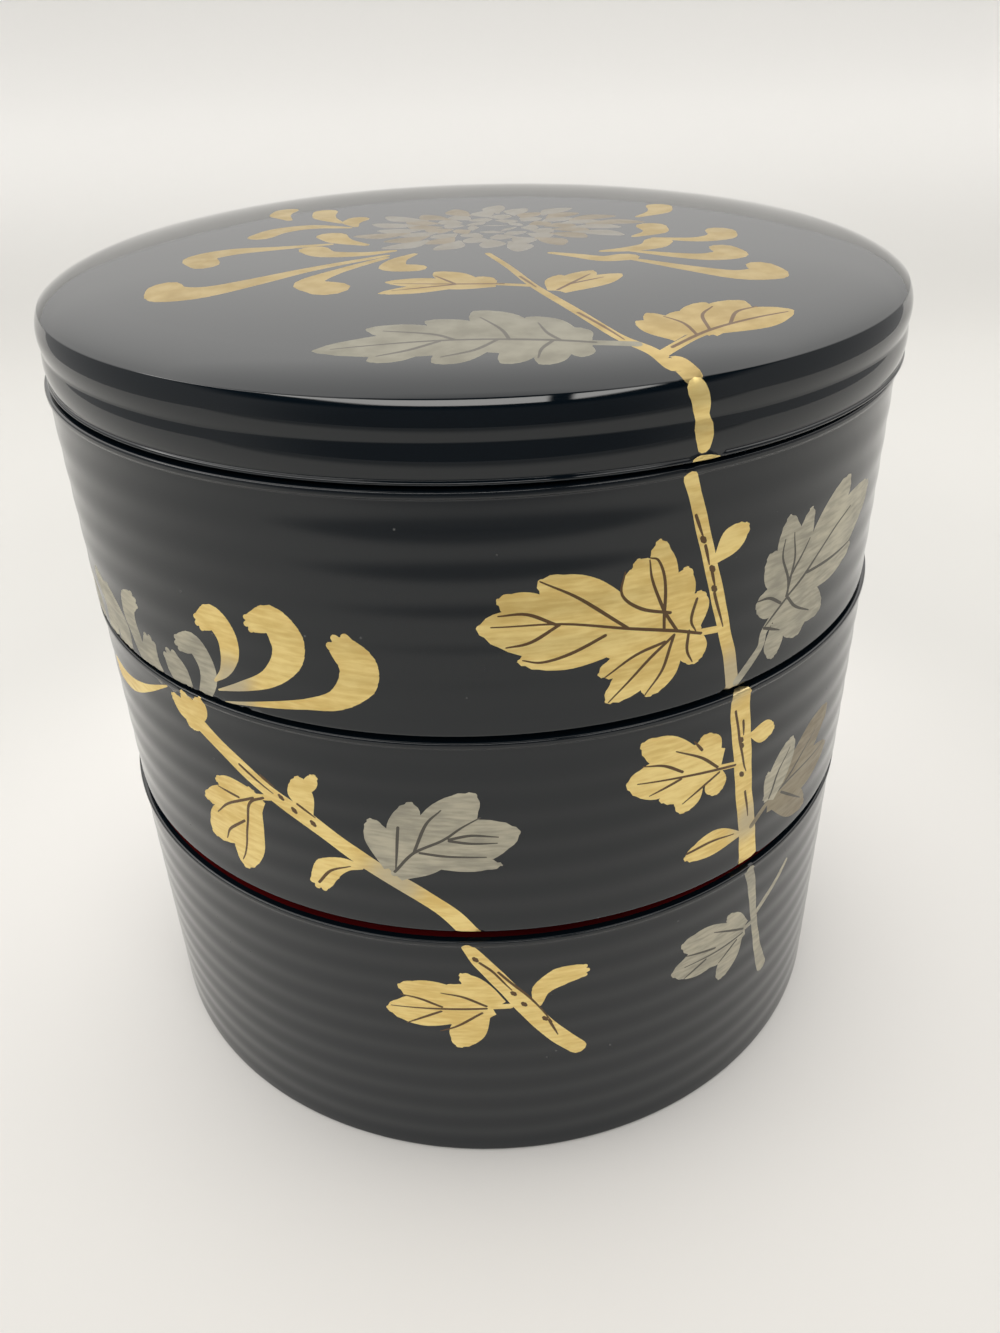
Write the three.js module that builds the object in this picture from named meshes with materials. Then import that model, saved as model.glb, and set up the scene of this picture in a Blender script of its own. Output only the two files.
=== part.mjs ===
// Tiered trinket box: three stacked round tiers with soft turned ribs, under a lift-off lid.
// Millimetres, +Z up. The origin is on the table, under the centre of the box.
// Every piece is turned on one axis: a profile is drawn as radius and height, and revolved.
import * as THREE from 'three';

// Driving dimensions: the round body
const boxRadius = 75;
const wallThickness = 5.5;
const floorThickness = 4;
const insideFillet = 3;
const sides = 44;

// Driving dimensions: the tiers, from lower edge to rim
const bottomTierHeight = 56.6;
const middleTierHeight = 38.7;
const topTierHeight = 38.7;
const lowerEdgeRound = 0.6;

// Driving dimensions: the turned ribs
const ribDepth = 0.3;
const bottomRibPitch = 5.62;
const upperRibPitch = 6.02;
const firstCrestHeight = 1.4;

// Driving dimensions: the rim of a tier, and the lip that takes the foot of the piece above
const rimBandHeight = 1.3;
const rimProud = 0.3;
const rimRound = 0.5;
const lipThickness = 2.8;
const lipDepth = 4;

// Driving dimensions: the feet
const bottomRecessDepth = 1.5;
const bottomFootWidth = 6;
const footRecessDepth = 1.2;
const footWidth = 4;

// Driving dimensions: the lid
const lidEdgeHeight = 13.1;
const lidThickness = 4;
const lidFlangeThickness = 2.6;
const lidBeadHeight = 0.9;
const lidBeadDepth = 0.35;
const lidReedHeight = 4.9;
const lidReedDepth = 0.3;
const lidShoulderWidth = 3.4;
const lidShoulderHeight = 5.2;
const lidDomeRise = 4.1;
const lidDomePower = 5;

// Clearances: between loose pieces, and the visible seam under each piece
const restGap = 0.3;
const footClearance = 1;
const middleSeamGap = 2;
const topSeamGap = 0.8;
const lidSeamGap = 0.5;

// How far each loose piece has slipped sideways, as a share of the play that it has
const bottomSlip = -0.5;
const middleSlip = 0;
const topSlip = -0.5;
const lidSlip = 0.5;

// Colours and gloss
const blackLacquer = { color: 0x14171a, roughness: 0.12, metalness: 0 };

// Heights and radii that follow from the dimensions
const insideRadius = boxRadius - wallThickness;
const lipRadius = boxRadius - lipThickness;
const footRadius = lipRadius - footClearance;
const crestRadius = boxRadius - rimProud;
const play = footClearance - restGap;
const footHeight = (seamGap) => lipDepth + seamGap - restGap;

const bottomRim = bottomTierHeight;
const middleBase = bottomRim + middleSeamGap;
const middleRim = middleBase + middleTierHeight;
const topBase = middleRim + topSeamGap;
const topRim = topBase + topTierHeight;
const lidBase = topRim + lidSeamGap;

// Profiles: lists of [radius, height] that run up the outside of a piece and down its inside

// The underside of the bottom tier: a broad flat foot round a shallow recess.
function flatUnderside(base) {
  const recessRadius = crestRadius - lowerEdgeRound - bottomFootWidth;
  return [
    [0, base + bottomRecessDepth],
    [recessRadius, base + bottomRecessDepth],
    [recessRadius, base],
  ];
}

// The underside of a tier that stands in the one below: a foot ring, then the shoulder above it.
function ringedUnderside(base, seamGap) {
  const footBottom = base - footHeight(seamGap);
  return [
    [0, footBottom + footRecessDepth],
    [footRadius - footWidth, footBottom + footRecessDepth],
    [footRadius - footWidth, footBottom],
    [footRadius, footBottom],
    [footRadius, base],
  ];
}

// The outside of a tier: a rounded lower edge, then ribs, with a row at each crest and each valley.
function ribbedWall(base, rim, pitch) {
  const points = [
    [crestRadius - lowerEdgeRound, base],
    [crestRadius, base + lowerEdgeRound],
  ];
  const bandStart = rim - rimBandHeight;
  const lastRow = bandStart - rimProud;
  for (let step = 0; base + firstCrestHeight + (step * pitch) / 2 < lastRow; step += 1) {
    const isValley = step % 2 === 1;
    points.push([crestRadius - (isValley ? ribDepth : 0), base + firstCrestHeight + (step * pitch) / 2]);
  }
  return points;
}

// The rim of a tier: a band that stands a little proud, a rounded edge, the lip and its inner step.
function rimAndLip(rim) {
  return [
    [crestRadius, rim - rimBandHeight],
    [boxRadius, rim - rimBandHeight + rimProud],
    [boxRadius, rim - rimRound],
    [boxRadius - rimRound, rim],
    [lipRadius, rim],
    [lipRadius, rim - lipDepth],
    [insideRadius, rim - lipDepth],
  ];
}

// The hollow of a tier: down the inside wall, round the fillet and across the floor.
function hollow(floor) {
  const filletSteps = 2;
  const points = [];
  for (let step = 0; step <= filletSteps; step += 1) {
    const angle = (step / filletSteps) * (Math.PI / 2);
    const radius = insideRadius - insideFillet * (1 - Math.cos(angle));
    points.push([radius, floor + insideFillet * (1 - Math.sin(angle))]);
  }
  points.push([0, floor]);
  return points;
}

// The side of the lid: a small bead at its lower edge, then two reeds with tight valleys.
function lidSide(base) {
  const points = [
    [boxRadius - lidBeadDepth, base],
    [boxRadius, base + lidBeadHeight / 2],
    [boxRadius - lidBeadDepth, base + lidBeadHeight],
  ];
  const firstReed = base + lidBeadHeight;
  points.push([boxRadius, firstReed + lidReedHeight / 2]);
  points.push([boxRadius - lidReedDepth, firstReed + lidReedHeight]);
  return points;
}

// The shoulder of the lid: a quarter of an ellipse, from the crest of the upper reed to the dome.
function lidShoulder(shoulderTop) {
  const steps = 4;
  const points = [];
  for (let step = 0; step <= steps; step += 1) {
    const angle = (step / steps) * (Math.PI / 2);
    const radius = boxRadius - lidShoulderWidth * (1 - Math.cos(angle));
    points.push([radius, shoulderTop - lidShoulderHeight * (1 - Math.sin(angle))]);
  }
  return points;
}

// A surface that rises gently to the axis: nearly flat in the middle, falling away near its edge.
function dome(edgeRadius, edgeHeight, rise, shares) {
  return shares.map((share) => {
    return [edgeRadius * share, edgeHeight + rise * (1 - share ** lidDomePower)];
  });
}

// Profiles turned into solids

function turned(name, profile, slip) {
  const points = profile.map(([radius, height]) => new THREE.Vector2(radius, height));
  const geometry = new THREE.LatheGeometry(points, sides);
  geometry.rotateX(Math.PI / 2);
  const mesh = new THREE.Mesh(geometry, new THREE.MeshStandardMaterial(blackLacquer));
  mesh.name = name;
  mesh.position.x = slip * play;
  return mesh;
}

function bottomTier() {
  const floor = bottomRecessDepth + floorThickness;
  return [
    ...flatUnderside(0),
    ...ribbedWall(0, bottomRim, bottomRibPitch),
    ...rimAndLip(bottomRim),
    ...hollow(floor),
  ];
}

function upperTier(base, rim, seamGap) {
  const floor = base - footHeight(seamGap) + footRecessDepth + floorThickness;
  return [
    ...ringedUnderside(base, seamGap),
    ...ribbedWall(base, rim, upperRibPitch),
    ...rimAndLip(rim),
    ...hollow(floor),
  ];
}

function lid() {
  const base = lidBase;
  const flangeBottom = base - footHeight(lidSeamGap);
  const flangeInside = footRadius - lidFlangeThickness;
  const shoulderTop = base + lidEdgeHeight;
  const domeEdge = boxRadius - lidShoulderWidth;
  const ceilingEdge = shoulderTop - lidThickness;
  return [
    ...dome(flangeInside - insideFillet, ceilingEdge, lidDomeRise, [0, 0.6, 0.85, 1]),
    [flangeInside, ceilingEdge - insideFillet],
    [flangeInside, flangeBottom],
    [footRadius, flangeBottom],
    [footRadius, base],
    ...lidSide(base),
    ...lidShoulder(shoulderTop),
    ...dome(domeEdge, shoulderTop, lidDomeRise, [0.92, 0.8, 0.6, 0]),
  ];
}

const box = new THREE.Group();
box.add(turned('bottom_tier', bottomTier(), bottomSlip));
box.add(turned('middle_tier', upperTier(middleBase, middleRim, middleSeamGap), middleSlip));
box.add(turned('top_tier', upperTier(topBase, topRim, topSeamGap), topSlip));
box.add(turned('lid', lid(), lidSlip));

export default box;
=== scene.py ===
"""A round box of three lacquered tiers and a lift-off lid, with chrysanthemums in gold and silver."""
import bpy
import numpy as np
from mathutils import Matrix, Vector
from mathutils.geometry import delaunay_2d_cdt


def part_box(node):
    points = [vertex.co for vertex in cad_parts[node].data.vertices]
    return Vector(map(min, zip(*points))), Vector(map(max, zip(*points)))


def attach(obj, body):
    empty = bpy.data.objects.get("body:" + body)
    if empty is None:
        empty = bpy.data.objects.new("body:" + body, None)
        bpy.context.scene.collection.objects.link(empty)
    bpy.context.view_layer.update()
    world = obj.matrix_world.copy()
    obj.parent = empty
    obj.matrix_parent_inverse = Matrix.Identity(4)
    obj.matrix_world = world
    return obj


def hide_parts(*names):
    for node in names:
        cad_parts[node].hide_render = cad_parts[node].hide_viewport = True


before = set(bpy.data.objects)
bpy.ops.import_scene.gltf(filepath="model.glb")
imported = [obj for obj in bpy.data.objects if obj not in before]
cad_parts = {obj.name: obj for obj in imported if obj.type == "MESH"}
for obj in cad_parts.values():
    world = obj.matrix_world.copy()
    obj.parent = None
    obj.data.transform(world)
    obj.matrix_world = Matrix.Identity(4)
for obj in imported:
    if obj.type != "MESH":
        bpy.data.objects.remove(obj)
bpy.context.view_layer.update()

MM = 0.001

# The photograph's camera: its lens in the picture's pixels, its place in metres, its turns in radians
PHOTO_HEIGHT = 1333
LENS_PIXELS = 1096.0
SENSOR_MM = 36.0
CAMERA_PLACE = Vector((-0.00035, -0.204175, 0.19185))
CAMERA_TILT, CAMERA_TURN, CAMERA_ROLL = 0.562, 0.016, -0.029

# Meshes, in millimetres. The lid's middle takes fewer points round the axis, in whole eights.
COLUMNS = 240
NET_WIDE, NET_STEP, NET_EIGHTS = 60.0, 2.0, 8
ROW_STEP = 0.5
CORNER_SHARE = 0.49
SAME_PLACE = 0.002
SKIN_MARGIN = 0.01
TINY = 1e-6
CUT_TOLERANCE = 1e-5

# Turned forms, in millimetres. Heights and radii of whole pieces come from the frame.
WALL_RADIUS = 75.0
MIDDLE_SEAM, TOP_SEAM, LID_SEAM = 2.0, 0.8, 0.5
RIM_PROUD = 0.3
RIM_BAND = 1.3
LIP_THICKNESS = 2.8
LIP_DEPTH = 4.0
WALL_THICKNESS = 5.5
FLOOR_THICKNESS = 4.0
INSIDE_FILLET = 3.0
FIRST_CREST = 1.4
RIB_DEPTH = 0.1
BOTTOM_RIB_PITCH, UPPER_RIB_PITCH = 5.62, 6.02
BOTTOM_RECESS, BOTTOM_FOOT = 1.5, 6.0
FOOT_RECESS, FOOT_WIDTH = 1.2, 4.0
BOTTOM_BLACK_RIM, MIDDLE_BLACK_RIM, TOP_BLACK_RIM = 1.3, 2.2, 1.7
FOOT_CLEARANCE = 1.0
SKIN_UNDER, SKIN_PAST_FOOT = 2.5, 0.6
EDGE_ROUND, BAND_ROUND, RIM_ROUND, BEAD_ROUND = 0.6, 0.25, 0.5, 0.15
LIP_ROUND, STEP_ROUND = 0.4, 0.3
RECESS_ROUND, FOOT_ROUND, FOOT_EDGE_ROUND, SEAT_ROUND = 0.5, 0.4, 0.5, 0.2
LID_FLANGE, LID_THICKNESS = 2.6, 4.0
LID_BEAD, LID_BEAD_DEPTH = 0.9, 0.35
LID_REED, LID_REED_DEPTH = 4.9, 0.3
LID_SHOULDER_WIDTH, LID_SHOULDER_HEIGHT = 3.4, 5.2
LID_RISE, LID_POWER = 4.1, 5
LID_BLEND, LID_BEND = 0.922, 5.57
LID_LEAN, LID_EDGE_IN, LID_EDGE_UP = 0.75, 1.15, 3.5
LID_LEAN_UP, LID_EDGE_BEND, LID_EDGE_ROUND = 3.0, (0.12, 0.22), 5.0
LID_CEILING_SHARE = 0.96
LID_RED_INSIDE = 3.0

# Painting: a lobe's neck, where it is fullest and how it swells and closes, and what the brush leaves
LEAF_NECK, PETAL_NECK = 0.6, 0.15
FULLEST = 0.56
SWELL, CLOSING, BLUNTNESS = 1.3, 1.7, 0.72
LOBE_STEPS, SPAN_STEPS, TOUCH_STEPS = 8, 6, 4
FRAY, LID_FRAY = 0.26, 0.1
FRAY_LEFT = (0.0, 0.0, 0.2, 0.0, 0.8, -0.5, 0.7, -0.3, 0.0)
FRAY_RIGHT = (0.0, 0.1, 0.0, -0.3, 0.5, 0.8, -0.6, 0.3, 0.0)
VEIN_WIDTHS = (0.5, 0.55, 0.42, 0.22)
DOT_WIDTHS, DOT_ASIDE, DOT_RISE = (0.7, 1.0, 0.7), 0.25, 0.3
TIP_BRISTLES = ((-0.32, 0.34), (-0.05, 0.5), (0.24, 0.42))
BRISTLE_WIDTH = 0.26

# The flower on the lid: rings of petals round its centre, each turned on from the last
FLOWER_X, FLOWER_Y = 4.0, 0.0
FLOWER_CORE, FLOWER_REACH, FLOWER_SPREAD, FLOWER_STRETCH = 2.0, 20.0, 0.7, 1.25
INNER_PETALS, INNER_PETAL_ROOT, INNER_PETAL_WIDTH, INNER_PETAL_BEND = 56, 0.6, 4.4, 0.12
DULL_ASIDE = 7.0
OUTER_PETAL = 1.2
GOLDEN_TURN = 2.39996

# Finishes: noise scales per metre, how far a bump stands out in metres, and spans of noise
LACQUER_CLOUD, LACQUER_RIPPLE = 24.0, 60.0
LACQUER_BUMP, LACQUER_BUMP_STRENGTH = 0.00002, 0.25
LACQUER_GLOSS, LID_GLOSS, RED_GLOSS = 0.1, 0.04, 0.1
LACQUER_SHADES, LACQUER_SATIN, SATIN_MORE = (0.35, 0.7), (0.3, 0.75), 1.6
DUST_CELLS, DUST_PATCHES, DUSTY_FROM = 210.0, 33.0, 0.57
DUST_SPECK, DUST_COVER, DUST_ROUGH = (0.05, 0.02), 0.8, 0.4
POWDER_CLOUD = 110.0
BRUSHED = (260.0, 260.0, 1500.0)
POWDER_SHADES, POWDER_GRAIN = (0.34, 0.66), (0.3, 0.7)
POWDER_ROUGH = (0.4, 0.48)
POWDER_METAL, VEIN_METAL = 0.85, 0.2
WORN_EDGE, WORN_CORE, WORN_SHARE = 0.5, 0.15, 0.8
POWDER_BUMP, POWDER_BUMP_STRENGTH = 0.00003, 0.14

# The table and the wall behind it, in metres, with the spans where the tabletop's painted shade deepens and
# the wall's painted light begins
TABLE_FRONT, TABLE_BACK, TABLE_HALF = -0.46, 0.45, 0.75
SWEEP_ROUND, WALL_TOP = 0.22, 0.24
TABLE_SHADE_FALLOFF, TABLE_FRONT_SHADE, WALL_STARTS = (0.07, 0.2), (-0.26, -0.38), (0.0, 0.12)
TABLE_ROUGH = 0.7

# The room, by direction: x to the right, y away from the camera, z up
CEILING_EDGE, CEILING_LIGHT = (0.55, 0.72), 1.1
CAMERA_SHADE_ASIDE, CAMERA_SHADE_BEHIND = (0.45, 0.3), (0.55, 0.35)
WINDOW_FOOT, WINDOW_HEAD, WINDOW_DEPTH, WINDOW_LIGHT = (0.45, 0.47), (0.58, 0.56), (0.3, 0.1), 6.5
WINDOW_LEFT, WINDOW_RIGHT = (-0.95, -0.85), (0.68, 0.6)
WINDOW_BAR, WINDOW_BAR_HALF = 0.31, (0.03, 0.06)
SKY_LEAN, SKY_EDGE, SKY_FRONT, SKY_FOOT = 1.5, (0.6, 0.85), (-0.25, 0.0), (0.12, 0.24, 0.9, 1.0)
SKY_LIGHT, SKY_RISE, SKY_MOST = 0.82, 3.2, 2.3
LOW_EDGE, LOW_AHEAD = (0.4, 0.3), (-0.9, -0.4)
LOW_FRONT, LOW_ASIDE = 0.12, 0.28
DARK_ROOM, WARM_WHITE = (0.012, 0.014, 0.022, 1.0), (1.0, 0.982, 0.95, 1.0)


# Shader maths

class Socket:
    """A node's output, with Python's operators as Math nodes."""

    def __init__(self, tree, output):
        self.tree = tree
        self.output = output

    def _math(self, operation, first, second=None):
        node = self.tree.nodes.new("ShaderNodeMath")
        node.operation = operation
        for slot, value in enumerate((first, second)):
            if isinstance(value, Socket):
                self.tree.links.new(value.output, node.inputs[slot])
            elif value is not None:
                node.inputs[slot].default_value = value
        return Socket(self.tree, node.outputs[0])

    def __add__(self, other):
        return self._math("ADD", self, other)

    __radd__ = __add__

    def __sub__(self, other):
        return self._math("SUBTRACT", self, other)

    def __rsub__(self, other):
        return self._math("SUBTRACT", other, self)

    def __mul__(self, other):
        return self._math("MULTIPLY", self, other)

    __rmul__ = __mul__

    def __abs__(self):
        return self._math("ABSOLUTE", self)

    def above(self, other):
        return self._math("GREATER_THAN", self, other)

    def larger(self, other):
        return self._math("MAXIMUM", self, other)

    def smaller(self, other):
        return self._math("MINIMUM", self, other)


class Nodes:
    """A node tree under construction, with one way to add any node."""

    def __init__(self, tree):
        self.tree = tree

    def node(self, kind, settings=None, inputs=None, output=0):
        made = self.tree.nodes.new(kind)
        for name, value in (settings or {}).items():
            setattr(made, name, value)
        for name, value in (inputs or {}).items():
            if isinstance(value, Socket):
                self.tree.links.new(value.output, made.inputs[name])
            else:
                made.inputs[name].default_value = value
        return Socket(self.tree, made.outputs[output])

    def place(self):
        return self.node("ShaderNodeTexCoord", output="Object")

    def noise(self, scale, detail=2.0, where=None):
        where = where or self.place()
        return self.node("ShaderNodeTexNoise", inputs={"Vector": where, "Scale": scale, "Detail": detail})

    def part(self, vector, axis):
        return self.node("ShaderNodeSeparateXYZ", None, {"Vector": vector}, axis)

    def ramp(self, value, low, high, to_low=0.0, to_high=1.0):
        """A smooth change from one number to another as a value goes from low to high."""
        settings = {"interpolation_type": "SMOOTHSTEP"}
        inputs = {"Value": value, "From Min": low, "From Max": high, "To Min": to_low, "To Max": to_high}
        return self.node("ShaderNodeMapRange", settings, inputs)

    def mix(self, share, first, second):
        return self.node("ShaderNodeMix", {"data_type": "RGBA"}, {0: share, 6: first, 7: second}, output=2)


class Finish(Nodes):
    """A material under construction, with its shader."""

    def __init__(self, name):
        self.material = bpy.data.materials.new(name)
        self.material.use_nodes = True
        super().__init__(self.material.node_tree)
        self.shader = self.tree.nodes["Principled BSDF"]

    def constants(self, **values):
        for name, value in values.items():
            self.shader.inputs[name.replace("_", " ")].default_value = value

    def drives(self, name, value):
        self.tree.links.new(value.output, self.shader.inputs[name])

    def bump(self, height, distance, strength):
        inputs = {"Height": height, "Distance": distance, "Strength": strength}
        self.drives("Normal", self.node("ShaderNodeBump", None, inputs))


def colour(red, green, blue):
    """A colour from its eight-bit screen values."""
    def linear(value):
        value /= 255
        return value / 12.92 if value <= 0.04045 else ((value + 0.055) / 1.055) ** 2.4
    return (linear(red), linear(green), linear(blue), 1.0)


BLACK = colour(9, 17, 23)
DUSTY = colour(96, 97, 95)
RED = colour(92, 12, 14)
DARK_RED = colour(60, 7, 9)
GOLD = colour(248, 224, 153)
DEEP_GOLD = colour(228, 198, 124)
SILVER = colour(194, 188, 168)
WORN_SILVER = colour(190, 180, 156)
DULL_SILVER = colour(160, 156, 142)
GOLD_VEIN = colour(92, 66, 34)
SILVER_VEIN = colour(82, 78, 70)
# The tabletop is painted darker far from the box and towards the front, as painted shade; the wall is painted
# paler than the table, as painted light.
NEAR_TABLE, SHADED_FAR_TABLE, SHADED_FRONT_TABLE = colour(226, 224, 221), colour(199, 198, 195), colour(125, 125, 124)
LIT_WALL = colour(250, 249, 247)


# Finishes

def lacquer(name, deep, light, gloss):
    """Polished lacquer: a deep colour under a clear glossy skin, with faint ripples and a little dust."""
    finish = Finish(name)
    cloud = finish.noise(LACQUER_CLOUD, 3.0)
    cells = {"Vector": finish.place(), "Scale": DUST_CELLS}
    speck = finish.node("ShaderNodeTexVoronoi", {"feature": "F1"}, cells, "Distance")
    kept = finish.noise(DUST_PATCHES, 1.0).above(DUSTY_FROM)
    dust = finish.ramp(speck, *DUST_SPECK) * kept
    base = finish.mix(finish.ramp(cloud, *LACQUER_SHADES), deep, light)
    finish.drives("Base Color", finish.mix(dust * DUST_COVER, base, DUSTY))
    satin = finish.ramp(cloud, *LACQUER_SATIN, gloss, gloss * SATIN_MORE)
    finish.drives("Roughness", satin + dust * DUST_ROUGH)
    finish.constants(IOR=1.5)
    finish.bump(finish.noise(LACQUER_RIPPLE, 1.0), LACQUER_BUMP, LACQUER_BUMP_STRENGTH)
    return finish.material


def on_tier(around, height):
    """The place of a point on the tiers' wall, in metres, from millimetres round the wall and height."""
    angle = around / WALL_RADIUS
    return (WALL_RADIUS * np.sin(angle) * MM, -WALL_RADIUS * np.cos(angle) * MM, height * MM)


def powder(name, bright, dim, vein=False, silver_spots=()):
    """Metal powder laid in wet lacquer: satin, slightly clouded, fading to silver around the given spots."""
    finish = Finish(name)
    where = finish.place()
    cloud = finish.noise(POWDER_CLOUD, 4.0, where)
    brushed = finish.node("ShaderNodeMapping", None, {"Vector": where, "Scale": BRUSHED})
    grain = finish.noise(1.0, 3.0, brushed)
    base = finish.mix(finish.ramp(cloud * 0.5 + grain * 0.5, *POWDER_SHADES), bright, dim)
    for centre, radius in silver_spots:
        apart = finish.node("ShaderNodeVectorMath", {"operation": "DISTANCE"}, {0: where, 1: centre}, "Value")
        worn = finish.ramp(apart + (cloud - 0.5) * radius * WORN_EDGE, radius, radius * WORN_CORE)
        base = finish.mix(worn * WORN_SHARE, base, WORN_SILVER)
    finish.drives("Base Color", base)
    finish.drives("Roughness", finish.ramp(grain, *POWDER_GRAIN, *POWDER_ROUGH))
    finish.constants(Metallic=VEIN_METAL if vein else POWDER_METAL)
    finish.bump(grain + cloud, POWDER_BUMP, POWDER_BUMP_STRENGTH)
    return finish.material


# Where a gold stem or petal has worn to silver: place and radius in metres
SILVERED = (
    (on_tier(39.5, 101.0), 0.0085), (on_tier(-40.5, 103.5), 0.006), (on_tier(-40.0, 98.5), 0.006),
    (on_tier(-16.5, 69.5), 0.0085), (on_tier(46.6, 68.5), 0.0065),
)

tier_finishes = {
    "lacquer": lacquer("black_lacquer", BLACK, BLACK, LACQUER_GLOSS),
    "red": lacquer("red_lacquer", RED, DARK_RED, RED_GLOSS),
    "gold": powder("gold_powder", GOLD, DEEP_GOLD, silver_spots=SILVERED),
    "silver": powder("silver_powder", SILVER, DULL_SILVER),
    "bronze": powder("bronze_powder", colour(157, 147, 125), colour(139, 128, 109)),
    "gold_vein": powder("gold_vein", GOLD_VEIN, GOLD_VEIN, vein=True),
    "silver_vein": powder("silver_vein", SILVER_VEIN, SILVER_VEIN, vein=True),
    "bronze_vein": powder("bronze_vein", SILVER_VEIN, SILVER_VEIN, vein=True),
}

lid_finishes = {
    **tier_finishes,
    "lacquer": lacquer("bright_black_lacquer", BLACK, BLACK, LID_GLOSS),
    # On the lid's top the gold, silver and bronze are darker copies of the tiers' paints: painted shade.
    "gold": powder("lid_shaded_gold_powder", colour(168, 148, 100), colour(150, 130, 85)),
    "silver": powder("lid_shaded_silver_powder", colour(130, 127, 114), colour(116, 113, 102)),
    "side_gold": tier_finishes["gold"],
    "faded": powder("lid_faded_silver", colour(135, 131, 123), colour(129, 124, 115)),
    "bronze": powder("lid_shaded_bronze_powder", colour(134, 124, 108), colour(123, 113, 96)),
}


# Profiles: rows of (radius, height) in millimetres, out along the underside and up the outside

class Profile:
    """A chain of rows to be turned on the axis, with its running length and its outward normals."""

    def __init__(self, rows, skin_start, skin_end):
        self.rows = np.array(rows, float)
        steps = np.linalg.norm(np.diff(self.rows, axis=0), axis=1)
        self.run = np.concatenate([[0.0], np.cumsum(steps)])
        ahead = np.vstack([self.rows[1:], self.rows[-1:]])
        behind = np.vstack([self.rows[:1], self.rows[:-1]])
        along = ahead - behind
        along /= np.linalg.norm(along, axis=1)[:, None]
        self.normals = np.stack([along[:, 1], -along[:, 0]], axis=1)
        for pole, beside in ((0, 1), (-1, -2)):
            if self.rows[pole, 0] < TINY:
                self.normals[pole] = (0.0, np.sign(self.normals[beside, 1]))
        self.start = skin_start
        self.end = skin_end

    def at(self, run):
        """Radius, height and normal at a running length."""
        return [np.interp(run, self.run, column) for column in (*self.rows.T, *self.normals.T)]

    def on_wall(self, point):
        """A place on the unrolled wall, from millimetres round the wall and height."""
        return point[0], self.run_at_height(point[1])

    def on_dome(self, point):
        """A place on the flattened lid, from plan coordinates."""
        radius = max(np.hypot(*point), TINY)
        reach = self.run[self.end] - self.run_at_radius(radius)
        return point[0] * reach / radius, point[1] * reach / radius

    def on_side(self, point):
        """A place on the flattened lid, from millimetres round its side and height."""
        reach = self.run[self.end] - self.run_at_height(point[1])
        angle = point[0] / WALL_RADIUS
        return reach * np.sin(angle), -reach * np.cos(angle)

    def run_at_height(self, height):
        """The running length where the wall has a height, carried on straight past its ends."""
        skin = slice(self.start, self.end + 1)
        heights, runs = self.rows[skin, 1], self.run[skin]
        top = int(np.argmax(heights))
        inside = np.interp(height, heights[:top + 1], runs[:top + 1])
        return inside + max(0.0, height - heights[top]) + min(0.0, height - heights[0])

    def run_at_radius(self, radius):
        """The running length where the top of the lid has a radius."""
        skin = slice(self.start, self.end + 1)
        radii, runs = self.rows[skin, 0], self.run[skin]
        last_wide = len(radii) - 1 - int(np.argmax(radii[::-1] >= radii.max() - TINY))
        return np.interp(radius, radii[:last_wide - 1:-1], runs[:last_wide - 1:-1])


def corner(previous, point, following, radius, steps=4):
    """A corner of a profile, rounded by a curve that starts and ends up to the radius away from it."""
    before, here, after = (np.array(p[:2], float) for p in (previous, point, following))
    into, out = before - here, after - here
    reach = min(radius, np.linalg.norm(into) * CORNER_SHARE, np.linalg.norm(out) * CORNER_SHARE)
    first = here + into / np.linalg.norm(into) * reach
    last = here + out / np.linalg.norm(out) * reach
    shares = np.linspace(0, 1, steps + 1)
    return [tuple((1 - t) ** 2 * first + 2 * t * (1 - t) * here + t * t * last) for t in shares]


def rounded(points):
    """Rows from points of (radius, height) or (radius, height, round), with every marked corner rounded."""
    rows = []
    for index, point in enumerate(points):
        if len(point) == 3:
            rows += corner(points[index - 1], point, points[index + 1], point[2])
        else:
            rows.append(tuple(point))
    return rows


def ribs(base, rim, pitch, crest):
    """The ribbed wall, from its lowest crest to just below the rim band."""
    start = base + FIRST_CREST
    stop = rim - RIM_BAND - RIM_PROUD
    heights = np.linspace(start, stop, int((stop - start) / ROW_STEP) + 1)
    wave = 0.5 - 0.5 * np.cos(2 * np.pi * (heights - start) / pitch)
    return [(crest - RIB_DEPTH * w, z) for w, z in zip(wave, heights)]


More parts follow.
